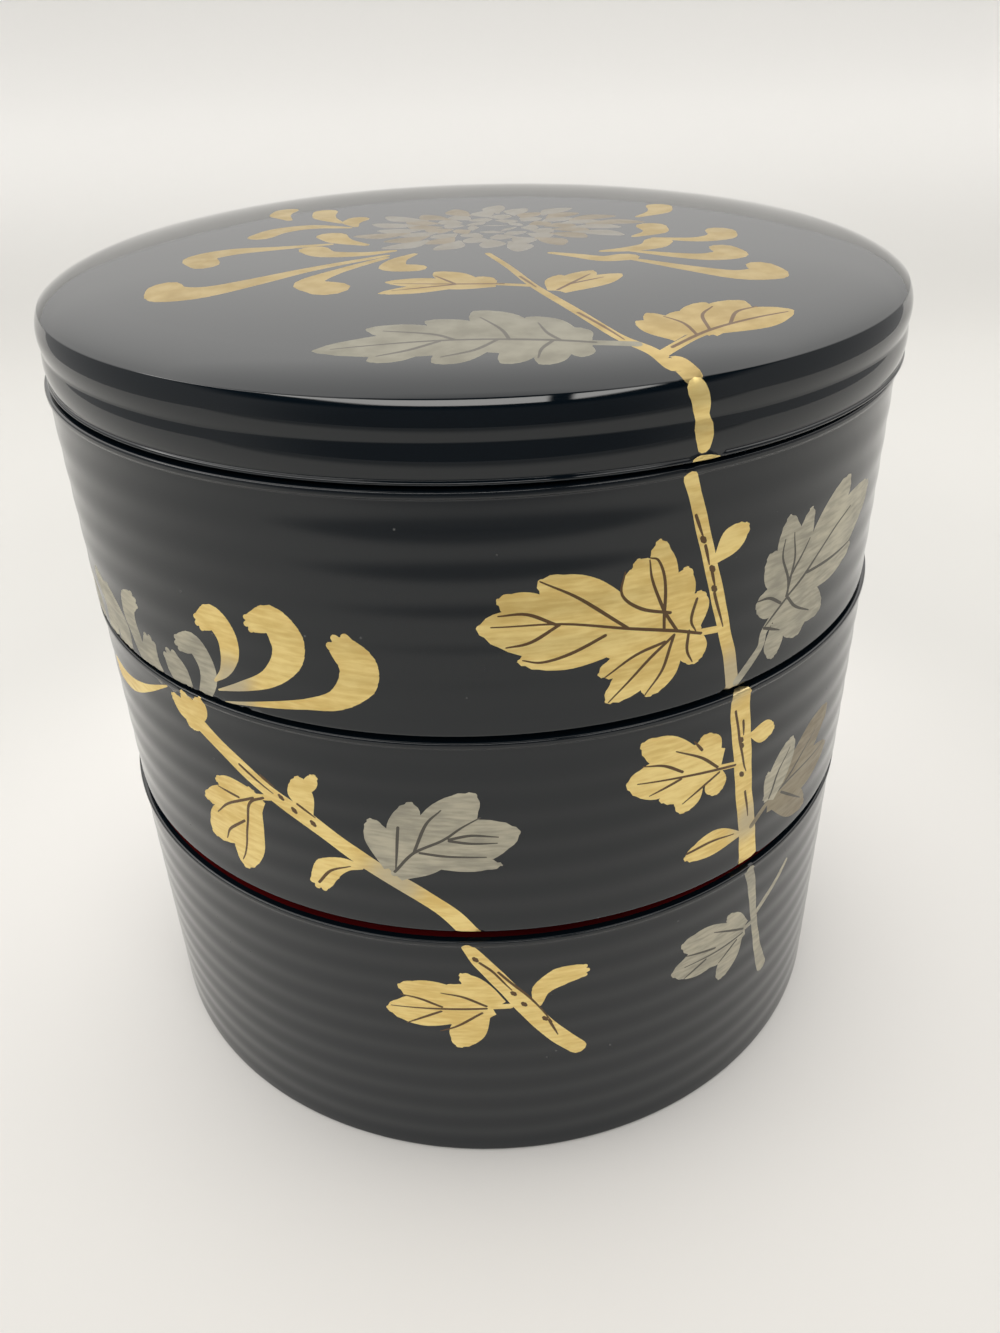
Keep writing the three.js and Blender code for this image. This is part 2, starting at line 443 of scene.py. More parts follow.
def tier_profile(low, high, radius, pitch, base, black_rim):
    """A tier: its foot, its ribbed wall and rim as the painted skin, its lip and its hollow."""
    crest = radius - RIM_PROUD
    lip, inside = radius - LIP_THICKNESS, radius - WALL_THICKNESS
    if base == low:
        recess = crest - EDGE_ROUND - BOTTOM_FOOT
        floor = low + BOTTOM_RECESS + FLOOR_THICKNESS
        under = [(0, low + BOTTOM_RECESS), (recess, low + BOTTOM_RECESS, RECESS_ROUND)]
        under += [(recess, low, FOOT_ROUND)]
        skin_start = (crest - SKIN_UNDER, low)
    else:
        foot = lip - FOOT_CLEARANCE
        floor = low + FOOT_RECESS + FLOOR_THICKNESS
        under = [(0, low + FOOT_RECESS), (foot - FOOT_WIDTH, low + FOOT_RECESS, RECESS_ROUND)]
        under += [(foot - FOOT_WIDTH, low, FOOT_ROUND), (foot, low, FOOT_EDGE_ROUND), (foot, base, SEAT_ROUND)]
        skin_start = (foot + SKIN_PAST_FOOT, base)
    wall = ribs(base, high, pitch, crest)
    red_edge = (radius - black_rim, high)
    skin = rounded([skin_start, (crest, base, EDGE_ROUND), wall[0]]) + wall[1:]
    band = [(crest, high - RIM_BAND, BAND_ROUND), (radius, high - RIM_BAND + RIM_PROUD, BAND_ROUND)]
    skin += rounded([wall[-1], *band, (radius, high, RIM_ROUND), red_edge])[1:]
    step = [(lip, high - LIP_DEPTH, STEP_ROUND), (inside, high - LIP_DEPTH, LIP_ROUND)]
    inner = rounded([red_edge, (lip, high, LIP_ROUND), *step, (inside, floor, INSIDE_FILLET), (0, floor)])[1:]
    under = rounded(under + [skin_start])[:-1]
    return Profile(under + skin + inner, len(under), len(under) + len(skin) - 1)


def dome(edge, height, shares):
    """Rows of a rise towards the axis, nearly flat in the middle."""
    return [(edge * share, height + LID_RISE * (1 - share ** LID_POWER)) for share in shares]


def reed(radius, depth, start, height, shares):
    """Rows of a half-round moulding that stands out from a wall."""
    return [(radius - depth * (1 - np.sin(np.pi * share)), start + height * share) for share in shares]


def lid_profile(low, high, radius, base):
    """The lid: its hollow and flange, then its side, shoulder and dome as the painted skin."""
    foot = radius - LIP_THICKNESS - FOOT_CLEARANCE
    flange = foot - LID_FLANGE
    top = high - LID_RISE
    ceiling = top - LID_THICKNESS
    under = dome(flange, ceiling, np.linspace(0, LID_CEILING_SHARE, 16))
    skin_start = (foot + SKIN_PAST_FOOT, base)
    lower = [(flange, low, FOOT_ROUND), (foot, low, FOOT_ROUND), (foot, base, SEAT_ROUND)]
    under += rounded([under[-1], (flange, ceiling, INSIDE_FILLET), *lower, skin_start])[1:-1]
    bead = (radius - LID_BEAD_DEPTH, base, BEAD_ROUND)
    skin = rounded([skin_start, bead, (radius, base + LID_BEAD / 2)])[:-1]
    skin += reed(radius, LID_BEAD_DEPTH, base, LID_BEAD, np.linspace(0, 1, 9)[2:])
    skin += reed(radius, LID_REED_DEPTH, base + LID_BEAD, LID_REED, np.linspace(0, 1, 15)[1:])
    second = base + LID_BEAD + LID_REED
    crest = top - LID_SHOULDER_HEIGHT
    skin += reed(radius, LID_REED_DEPTH, second, 2 * (crest - second), np.linspace(0, 0.5, 8)[1:])
    edge = (radius - LID_EDGE_IN, crest + LID_EDGE_UP)
    for share in np.linspace(0, 1, 9)[1:]:
        skin.append((radius - LID_LEAN * share ** 2, crest + LID_LEAN_UP * share))
    turning = (radius - LID_LEAN - LID_EDGE_BEND[0], edge[1] - LID_EDGE_BEND[1])
    skin += corner(skin[-1], turning, edge, LID_EDGE_ROUND)[1:]
    dome_edge = radius - LID_SHOULDER_WIDTH
    start, end = np.array(edge), np.array(dome(dome_edge, top, [LID_BLEND])[0])
    slope = np.array((1.0, -LID_POWER * LID_RISE / dome_edge * LID_BLEND ** (LID_POWER - 1)))
    bend = end + slope * LID_BEND
    for share in np.linspace(0, 1, 17)[1:]:
        skin.append(tuple((1 - share) ** 2 * start + 2 * share * (1 - share) * bend + share ** 2 * end))
    skin += dome(dome_edge, top, np.linspace(LID_BLEND, 0, 42)[1:])
    return Profile(under + skin, len(under), len(under) + len(skin) - 1)


# Painted shapes: outlines in millimetres on the unrolled wall or on the flattened lid

def smooth(points, per_span=SPAN_STEPS):
    """A curve through the points."""
    points = np.array(points, float)
    if len(points) == 2:
        shares = np.linspace(0, 1, 5)[:, None]
        return points[0] * (1 - shares) + points[1] * shares, shares[:, 0]
    padded = np.vstack([2 * points[0] - points[1], points, 2 * points[-1] - points[-2]])
    curve, where = [], []
    for span in range(len(points) - 1):
        a, b, c, d = padded[span:span + 4]
        for t in np.linspace(0, 1, per_span, endpoint=False):
            curve.append(0.5 * (2 * b + (c - a) * t + (2 * a - 5 * b + 4 * c - d) * t * t
                                + (3 * b - a - 3 * c + d) * t ** 3))
            where.append((span + t) / (len(points) - 1))
    return np.array(curve + [points[-1]]), np.array(where + [1.0])


def ribbon(points, widths):
    """The outline of a brush stroke along a curve, with round ends."""
    curve, where = smooth(points)
    widths = np.atleast_1d(np.array(widths, float))
    half = np.interp(where, np.linspace(0, 1, len(widths)), widths) / 2
    along = np.gradient(curve, axis=0)
    along /= np.linalg.norm(along, axis=1)[:, None]
    across = np.stack([-along[:, 1], along[:, 0]], axis=1)
    left = curve + across * half[:, None]
    right = curve - across * half[:, None]
    turns = np.linspace(0, np.pi, 6)[1:-1, None]
    end = curve[-1] + half[-1] * (np.cos(turns) * across[-1] + np.sin(turns) * along[-1])
    start = curve[0] - half[0] * (np.cos(turns) * across[0] + np.sin(turns) * along[0])
    return np.vstack([left, end, right[::-1], start])


def lobe(root, tip, width, bend, neck, fray):
    """The outline of a lobe: as wide as its neck at the root, fullest past the middle, frayed at its tip."""
    root, tip = np.array(root, float), np.array(tip, float)
    along = tip - root
    length = np.linalg.norm(along)
    along /= length
    across = np.array([-along[1], along[0]])
    closing = FULLEST + (1 - FULLEST) * np.sin(np.linspace(0, np.pi / 2, len(FRAY_LEFT) + 1)[1:])
    share = np.concatenate([np.linspace(0, FULLEST, LOBE_STEPS), closing])
    growing = neck + (1 - neck) * np.sin(np.pi / 2 * np.minimum(share / FULLEST, 1)) ** SWELL
    ending = (1 - (np.maximum(share - FULLEST, 0) / (1 - FULLEST)) ** CLOSING) ** BLUNTNESS
    half = width / 2 * np.where(share < FULLEST, growing, ending)
    middle = root + np.outer(share * length, along) + np.outer(bend * np.sin(np.pi * share) * length, across)
    left, right = half.copy(), half.copy()
    left[LOBE_STEPS:] += np.array(FRAY_LEFT) * fray
    right[LOBE_STEPS:] += np.array(FRAY_RIGHT) * fray
    return np.vstack([middle + left[:, None] * across, (middle - right[:, None] * across)[-2::-1]])


def within(outline, low, high):
    """The part of an outline between two heights of the unrolled wall."""
    for sign, limit in ((1, low), (-1, -high)):
        kept = []
        for index, point in enumerate(outline):
            last = outline[index - 1]
            ahead, behind = sign * point[1] - limit, sign * last[1] - limit
            if (ahead >= 0) != (behind >= 0):
                kept.append(last + (point - last) * behind / (behind - ahead))
            if ahead >= 0:
                kept.append(point)
        outline = np.array(kept)
        if len(outline) < 3:
            return []
    return outline


class Painting:
    """The painted shapes of one piece, in the order they are laid."""

    def __init__(self, place, fray=FRAY, bristles=TIP_BRISTLES):
        self.place = place
        self.fray = fray
        self.bristles = bristles
        self.shapes = []

    def stroke(self, paint, widths, *points):
        self.shapes.append((paint, ribbon([self.place(point) for point in points], widths)))

    def petal(self, paint, widths, *points):
        """A broad stroke, laid as short overlapping touches so that it can turn sharply."""
        curve, where = smooth([self.place(point) for point in points], TOUCH_STEPS)
        spans = np.interp(where, np.linspace(0, 1, len(widths)), widths)
        for index in range(len(curve) - 1):
            self.shapes.append((paint, ribbon(curve[index:index + 2], spans[index:index + 2])))
        along = curve[-1] - curve[-3]
        along /= np.linalg.norm(along)
        across = np.array([-along[1], along[0]])
        for aside, ahead in self.bristles:
            foot = curve[-1] + across * aside * spans[-1]
            bristle = ribbon([foot, foot + along * ahead * spans[-1]], spans[-1] * BRISTLE_WIDTH)
            self.shapes.append((paint, bristle))

    def lobe(self, paint, root, tip, width, bend=0.0, neck=PETAL_NECK):
        outline = lobe(self.place(root), self.place(tip), width, bend, neck, self.fray)
        self.shapes.append((paint, outline))

    def leaf(self, paint, stalk, lobes, veins, width=1.2):
        """A leaf: its stalk, the lobes that make its blade, and its veins in a darker line."""
        if stalk:
            self.stroke(paint, width, *stalk)
        for root, tip, breadth in lobes:
            self.lobe(paint, root, tip, breadth, neck=LEAF_NECK)
        self.veins(paint, *veins)

    def veins(self, paint, *lines):
        for line in lines:
            self.stroke(paint + "_vein", VEIN_WIDTHS, *line)

    def dots(self, paint, *centres):
        """Small round touches of dark paint."""
        for x, y in centres:
            ends = (x - DOT_ASIDE, y + DOT_RISE), (x + DOT_ASIDE, y - DOT_RISE)
            self.stroke(paint + "_vein", DOT_WIDTHS, ends[0], (x, y), ends[1])


# Meshes

def turned_quads(count, columns):
    """Quads between rows of points round the axis."""
    grid = np.arange(count * columns).reshape(count, columns)
    following = np.roll(grid, -1, axis=1)
    return np.stack([grid[:-1], following[:-1], following[1:], grid[1:]], axis=-1).reshape(-1, 4)


def skin_grid(profile, flat):
    """Points of the painted skin's own net: on the unrolled wall, or on the flattened lid."""
    runs = profile.run[profile.start:profile.end + 1]
    points = []
    for run in runs:
        if not flat:
            for angle in np.linspace(-np.pi, np.pi, COLUMNS + 1):
                points.append((WALL_RADIUS * angle, run))
            continue
        reach = profile.run[profile.end] - run
        wide = profile.at(run)[0] > NET_WIDE
        count = COLUMNS if wide else max(1, int(reach * 2 * np.pi / NET_STEP / NET_EIGHTS) * NET_EIGHTS)
        for angle in np.arange(count) * 2 * np.pi / count:
            points.append((reach * np.sin(angle), -reach * np.cos(angle)))
    return points


def painted_skin(profile, painting, flat):
    """The skin cut along every painted outline: runs, angles, triangles, and the last paint over each."""
    points = skin_grid(profile, flat)
    outlines = []
    for paint, outline in painting.shapes:
        if not flat:
            low, high = profile.run[profile.start] + SKIN_MARGIN, profile.run[profile.end] - SKIN_MARGIN
            outline = within(outline, low, high)
        if len(outline):
            following = np.roll(outline, -1, axis=0)
            turning = np.sum(outline[:, 0] * following[:, 1] - outline[:, 1] * following[:, 0])
            outline = outline if turning > 0 else outline[::-1]
            outlines.append((paint, list(range(len(points), len(points) + len(outline)))))
            points += [tuple(point) for point in outline]
    net = [Vector(point) for point in points]
    found = delaunay_2d_cdt(net, [], [face for _, face in outlines], 0, CUT_TOLERANCE, True)
    flat_points = np.array([tuple(point) for point in found[0]])
    triangles = np.array(found[2])
    paints = [outlines[max(origins)][0] if origins else "lacquer" for origins in found[5]]
    if flat:
        run = profile.run[profile.end] - np.linalg.norm(flat_points, axis=1)
        angle = np.arctan2(flat_points[:, 0], -flat_points[:, 1])
    else:
        run, angle = flat_points[:, 1], flat_points[:, 0] / WALL_RADIUS
    return run, angle, triangles, paints


def build(name, node, profile, painting, flat, finishes, offset):
    """One painted, turned piece in place of its CAD node."""
    columns = np.arange(COLUMNS) * 2 * np.pi / COLUMNS - np.pi
    runs, angles, faces, paints = [], [], [], []
    total = 0
    for first, last, paint in ((0, profile.start, None), (profile.end, len(profile.rows) - 1, "red")):
        if last <= first:
            continue
        span = profile.run[first:last + 1]
        quads = turned_quads(len(span), COLUMNS)
        row = quads[:, 0] // COLUMNS
        faces += (quads + total).tolist()
        if paint:
            paints += [paint] * len(quads)
        else:
            middle = (profile.rows[first:last] + profile.rows[first + 1:last + 1]) / 2
            inside = flat & (middle[:, 0] < profile.rows[profile.start, 0] - LID_RED_INSIDE)
            paints += ["red" if inside[index] else "lacquer" for index in row]
        runs.append(np.repeat(span, COLUMNS))
        angles.append(np.tile(columns, len(span)))
        total += len(span) * COLUMNS
    run, angle, triangles, skin_paints = painted_skin(profile, painting, flat)
    faces += (triangles + total).tolist()
    paints += skin_paints
    runs, angles = np.concatenate(runs + [run]), np.concatenate(angles + [angle])
    radius, height, out, up = profile.at(runs)
    around = np.stack([np.sin(angles), -np.cos(angles)])
    points = np.stack([offset + radius * around[0], radius * around[1], height], axis=1) * MM
    normals = np.stack([out * around[0], out * around[1], up], axis=1)
    places = np.round(points / (SAME_PLACE * MM))
    _, kept, merged = np.unique(places, axis=0, return_index=True, return_inverse=True)
    merged = merged.ravel()
    used = sorted(set(paints))
    mesh = bpy.data.meshes.new(name)
    clean, slots = [], []
    for face, paint in zip(faces, paints):
        corners = list(dict.fromkeys(int(merged[index]) for index in face))
        if len(corners) > 2:
            clean.append(corners)
            slots.append(used.index(paint))
    mesh.from_pydata([tuple(point) for point in points[kept]], [], clean)
    for paint in used:
        mesh.materials.append(finishes[paint])
    mesh.polygons.foreach_set("material_index", slots)
    mesh.shade_smooth()
    mesh.normals_split_custom_set_from_vertices([tuple(normal) for normal in normals[kept]])
    piece = bpy.data.objects.new(name, mesh)
    bpy.context.collection.objects.link(piece)
    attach(piece, "root")
    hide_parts(node)


def node_sizes(node):
    """Lowest and highest point, radius and sideways place of a CAD node, in millimetres."""
    low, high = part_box(node)
    return low.z / MM, high.z / MM, (high.x - low.x) / 2 / MM, (high.x + low.x) / 2 / MM


# Paintings, in millimetres: on a tier, round the wall from the front, and height; on the lid, plan x and y

def bottom_painting(place):
    """The cut end of one gold stem with its leaves, and the grey end of another."""
    art = Painting(place)
    art.stroke(
        "gold", (2, 3, 3.2, 3.4, 3.6, 3.4), (-4.8, 55.2), (-2.5, 51.5), (1.5, 45.5), (5.5, 39), (10, 32.5),
        (14.3, 27.5),
    )
    art.leaf("gold", ((2.2, 40.6), (-2, 40.6)), (
        ((0.5, 41), (-6.3, 48.9), 4), ((-3, 41), (-17.5, 44.9), 7), ((-4, 40), (-20, 38.5), 8),
        ((-3, 39.5), (-7.5, 30), 6.5), ((-1, 40.5), (-10, 37.5), 7), ((-1, 41), (-9.5, 45.5), 5.5),
    ), (
        ((-2, 40.2), (-9.5, 39.9), (-19, 39.4)), ((-9.8, 40.4), (-13.5, 42), (-17, 42.6)),
        ((-10, 39.2), (-16.3, 35.5)), ((-2, 40.8), (-6, 43), (-9.8, 43.8)),
        ((-2.8, 39), (-7, 35.8), (-10.3, 34.1)),
    ))
    art.petal("gold", (1.6, 3.6, 4.6, 3.6), (7, 40.6), (7.8, 44.2), (10.8, 46.4), (14, 47))
    art.veins(
        "gold", ((-2.8, 51.5), (-0.5, 49), (2.5, 44.5)), ((0.3, 49), (3.5, 45), (6.5, 41), (9.5, 35.5)),
        ((9, 36), (10.6, 31.8)),
    )
    art.dots("gold", (-3.5, 52.3), (2.8, 43.6), (4.6, 40.8), (8.3, 36.5))
    art.stroke(
        "silver", (2.4, 2.2, 1.8, 1.8, 2.2, 3), (49.6, 55.4), (51, 51), (52.5, 44), (54, 38), (56, 31),
        (58.5, 24.5),
    )
    art.stroke("silver", (1.2, 1.6, 1), (53.3, 42), (57, 44.5), (63, 49))
    art.leaf("silver", ((52.8, 40.6), (49, 40.2)), (
        ((48, 41), (34.2, 45.5), 7), ((48, 40), (32.5, 38.8), 8), ((49, 39.5), (44.5, 30.5), 5.5),
        ((50.5, 41), (45, 46.9), 3.5), ((50.5, 40.2), (40, 37), 6.5),
    ), (
        ((50, 39.4), (44, 39), (35.5, 39.3)), ((42.5, 40.3), (35.5, 42.1)), ((40.5, 38.5), (35.5, 36.3)),
        ((50, 40.5), (42, 44.5)), ((48.5, 38.5), (44, 35.5)),
    ))
    return art


def middle_painting(place):
    """The stem that carries the flower, with its calyx and leaves, and the long stem on the right."""
    art = Painting(place)
    art.petal("gold", (0.4, 1.5, 3.2, 4), (-58, 95.6), (-66, 91.6), (-74, 88.8), (-82, 88))
    for tip, width in (((-57, 94.8), 3.6), ((-53.2, 97), 3.8), ((-48.6, 97.2), 3.6)):
        art.lobe("gold", (-51.5, 90.4), tip, width)
    art.lobe("gold", (-50, 93.5), (-53.6, 89.6), 4)
    art.stroke(
        "gold", (3, 2.9, 3, 3.2, 3, 3.1, 3, 3.2, 3.4), (-51, 91.6), (-44, 87), (-37, 82.5), (-30, 78.8),
        (-24, 74.6), (-18, 70.5), (-12, 66.5), (-7, 62), (-2.6, 58.2),
    )
    art.leaf("gold", ((-37.5, 81.3), (-41, 80.3)), (
        ((-40.5, 80.5), (-49.5, 80.6), 4), ((-41, 80), (-53.5, 75), 5), ((-42, 77), (-53.2, 67.2), 8),
        ((-41.5, 78), (-46, 62.6), 7), ((-40, 81), (-46.5, 73), 6.5),
    ), (
        ((-38.8, 80.8), (-42, 78.5), (-43.5, 73), (-45, 67), (-46.2, 64.5)),
        ((-41, 80), (-47, 76.5), (-50.5, 73.1)), ((-44, 74), (-48, 70.5), (-49.4, 67.8)),
        ((-44.3, 78.9), (-49, 79.3)),
    ))
    art.lobe("gold", (-29.6, 79.6), (-31.2, 87.6), 4.8, 0.08)
    art.lobe("gold", (-30.6, 84), (-27.9, 88.6), 2.4)
    art.petal("gold", (1.2, 3, 4.8, 4.2), (-22, 71.2), (-25, 71), (-28, 69.2), (-29.4, 66.6))
    art.veins(
        "gold", ((-30, 65.8), (-27.5, 69), (-23.8, 70.9)), ((-42.7, 86.2), (-36.5, 82.5)),
        ((-38.5, 85.5), (-36, 84)), ((-32, 81.7), (-29, 79.8)),
    )
    art.dots("gold", (-35, 82.2), (-32.8, 80.2), (-29.5, 78.5))
    art.leaf("silver", ((-16.3, 70.8), (-15.6, 73)), (
        ((-16.5, 72), (-19.5, 81.8), 5), ((-15.5, 73), (-12.5, 85.9), 6), ((-13, 75), (-2.5, 87.8), 8),
        ((-12, 76), (4.2, 80), 9), ((-14, 74.5), (1.3, 73.3), 3.5), ((-17, 71.6), (-7.5, 79.5), 9.5),
    ), (
        ((-15, 80.5), (-16, 71.5)), ((-16.2, 71.2), (-12.8, 75.5), (-8, 78.5), (-5, 81), (-2, 83.1)),
        ((-12.7, 75.8), (-10.5, 81.5), (-8, 84.5)), ((-7, 78.7), (-3.5, 79.5), (0.7, 79.1)),
        ((-7, 78.4), (-3.5, 77.9), (0.5, 77.9)), ((-11.8, 75.6), (-7.5, 75.1), (-1.3, 75)),
    ))
    art.stroke(
        "gold", (4, 4.2, 4, 3.8, 4, 4.6), (41.5, 96.4), (42, 92), (43.5, 84), (45, 75), (46.8, 67),
        (48.7, 57.6),
    )
    art.lobe("gold", (44.6, 87.4), (51, 85.9), 4.2)
    art.leaf("gold", ((43, 82.4), (37, 83.8)), (
        ((34, 86.5), (23.2, 93.2), 6), ((34, 85), (21, 85.9), 8), ((37, 85), (34.5, 91.4), 5.5),
        ((34, 83.5), (31.2, 76.9), 5.5), ((37.5, 83), (38.5, 78), 4.5), ((38.8, 84.2), (26, 86.6), 9.5),
        ((37.5, 84), (27, 81), 6),
    ), (
        ((42, 82.5), (38, 83.3), (31, 84.5), (23, 85.6)), ((38, 83.8), (34.5, 87), (29.5, 90)),
        ((34.5, 88.5), (32.8, 90.8)), ((31, 85.5), (27.5, 87.8), (23.8, 88.8)),
        ((30.8, 84.2), (25.2, 82.6)), ((38.5, 82.5), (31.5, 78.9)),
    ))
    art.lobe("gold", (45.6, 66.2), (32.6, 66.6), 5.5, -0.08)
    art.veins(
        "gold", ((33.3, 67.5), (38.5, 67.9), (43.5, 67.1)),
        ((40.8, 93.5), (42.5, 87), (44, 82), (44.8, 80)), ((42.7, 91), (43.2, 88)),
        ((45.2, 75.5), (46.7, 69.5)),
    )
    art.dots("gold", (42.8, 87.2), (43, 86), (43.8, 79.8))
    art.leaf("bronze", ((48, 66.6), (52.5, 70)), (
        ((53, 69.5), (66, 75), 9), ((54, 69), (66, 61), 6), ((52, 69.6), (74, 70), 8),
        ((56, 72), (71, 80.5), 8),
    ), (
        ((52.5, 70), (60, 71.5), (72, 71.5)), ((56, 71), (66, 77.5)), ((56, 69.6), (64, 63.5)),
    ))
    art.leaf("silver", None, (
        ((51.5, 70), (51, 76.8), 2), ((52, 70), (57.5, 81), 6.5),
    ), (
        ((52.2, 70.4), (54, 75), (56.8, 79)),
    ))
    return art


def top_painting(place):
    """The near petals of the flower on the left, and the stem with its leaves on the right."""
    art = Painting(place)
    for widths, points in (
        ((5, 6, 4), ((-75.5, 98.2), (-75, 104), (-78.5, 107.5))),
        ((5, 5.5, 4), ((-69.5, 98.2), (-70, 103), (-73.5, 106.5))),
        ((5, 5.5, 4), ((-82.5, 98.2), (-84, 102), (-87.5, 104))),
        ((2.4, 4, 4.4, 3.8), ((-62.6, 98.4), (-65, 104), (-65.2, 108), (-63.6, 109.4))),
        ((3.4, 4.8, 4.2), ((-58.8, 98.4), (-60.4, 100.4), (-60.2, 102.2))),
        ((3.4, 5.2, 5), ((-51.2, 98.4), (-52.4, 100), (-53.4, 101.4))),
        ((2.5, 3.5, 4, 4, 3.5), (
            (-47, 98.2), (-45.5, 101.5), (-45.6, 104.8), (-47.5, 107.3), (-50, 106.6),
        )),
    ):
        art.petal("silver", widths, *points)
    art.petal(
        "gold", (0.5, 1.8, 3.5, 4.3, 4.5, 3.5), (-44, 101.8), (-41.5, 104.2), (-40, 107.5), (-40, 111),
        (-42, 113.4), (-44, 112.4),
    )
    art.petal(
        "gold", (0.3, 1.8, 3, 4.8, 5.8, 5, 3.5), (-43.5, 100.3), (-38, 102.6), (-33, 105.2), (-29.6, 109),
        (-29, 112.5), (-31, 115.5), (-34, 114.5),
    )
    art.petal(
        "gold", (0.3, 1, 1.8, 3.5, 5.8, 6, 5), (-42.5, 98.4), (-35, 100.1), (-27.5, 101.8), (-22, 103.5),
        (-18.6, 107), (-18.3, 110), (-19.8, 112),
    )
    art.stroke(
        "gold", (2.2, 2, 2.2, 2.2, 2.4, 2.2, 2.4, 2.6), (28.9, 135.2), (29.9, 132.5), (31.3, 128),
        (33.2, 122), (35.4, 115), (37.2, 109), (39, 103), (40.3, 97.8),
    )
    art.lobe("gold", (33.9, 121.2), (39.9, 126), 4.5, 0.06)
    art.leaf("gold", ((36.6, 110), (32.5, 110.5)), (
        ((20, 114.5), (-1.1, 116.5), 9), ((12, 117), (1.8, 120.8), 5), ((22, 114), (7.5, 123.3), 8),
        ((22, 113), (4.5, 110.8), 6), ((28, 111), (16.2, 107), 5), ((28, 111), (17.5, 102), 6),
        ((28.5, 111), (24, 101.6), 6), ((31, 110.8), (32, 105.3), 5), ((27, 113), (21.5, 124.7), 7),
        ((27, 112), (20.4, 123.2), 8), ((26.5, 114), (24.8, 127.1), 5), ((28, 113), (29.5, 122), 4.5),
        ((31, 111.5), (32, 117.6), 4.5), ((32, 110), (13, 116), 10), ((31, 111), (21, 107), 7),
        ((31, 110), (25.5, 118), 7),
    ), (
        ((32.7, 110.3), (28, 112), (20.5, 114), (10.8, 116.3), (1, 116.6)),
        ((10, 116.3), (6, 118.3), (2, 118.3)), ((10.5, 116.2), (6.5, 113.8), (3, 113.2)),
        ((20.5, 114.1), (13.5, 119.8), (7.8, 123.2)), ((17.2, 113.5), (12, 111.3), (8, 110.4), (5.3, 111)),
        ((27.2, 115.1), (22.5, 116.8), (19.5, 119.5), (19.8, 123)),
        ((26.3, 112.8), (26.2, 115.5), (26, 120.5), (24.8, 123.8), (23.5, 124.5)),
        ((28.5, 111.8), (26, 116), (24, 121), (23.4, 124.2)), ((26.5, 110.5), (22, 109.3), (17.3, 106.5)),
        ((28, 111.3), (23.5, 107.5), (18, 102)), ((28, 111.3), (26.5, 106), (23.8, 102)),
        ((31.5, 116.3), (30.8, 113), (31.7, 111)), ((30.5, 111.3), (30.5, 108), (31.5, 105.8)),
    ))
    art.veins(
        "gold", ((30.2, 129.5), (31.8, 125.8)), ((32.2, 124.5), (33.2, 121.3)),
        ((33.8, 120), (34.5, 117.5)), ((34.5, 116.5), (36.7, 110.3)),
    )
    art.dots("gold", (31.8, 125.5), (33.8, 120.5), (34.4, 117.2))
    art.leaf("silver", ((40.6, 99.2), (45, 103.5), (45.7, 106.5), (50, 110.5)), (
        ((51, 112), (48.5, 124.9), 6), ((51.5, 112), (54, 124.6), 4.5), ((50.5, 111.5), (44.8, 119.6), 6),
        ((50, 110.5), (43, 111.8), 5.5), ((48.5, 107), (48.2, 100.4), 4.5), ((51.5, 110), (55, 102.2), 7),
        ((52, 110), (61, 104.3), 6), ((54, 113), (65.5, 126), 8), ((54, 113), (76, 121), 10),
        ((53, 111.5), (70, 112.5), 6), ((49, 108.5), (51, 118), 8), ((48.5, 109), (60, 115.5), 8),
        ((48, 111), (53, 104.5), 6),
    ), (
        ((50.2, 110.5), (50, 114), (48, 118), (48.2, 121)), ((50, 111), (51, 116.5), (50.2, 121.5)),
        ((50.5, 114), (54.5, 119.2)), ((50.2, 110.8), (55, 113.5), (61.5, 118), (67.5, 120)),
        ((55, 113.2), (62.5, 113), (70, 113.2)), ((50.5, 110.5), (53, 108), (57, 105.8)),
        ((48.8, 110.2), (46, 112), (43.3, 112.3)), ((50, 110.5), (45.5, 107)), ((45.5, 107), (49.3, 105.3)),
    ), 1.5)
    return art


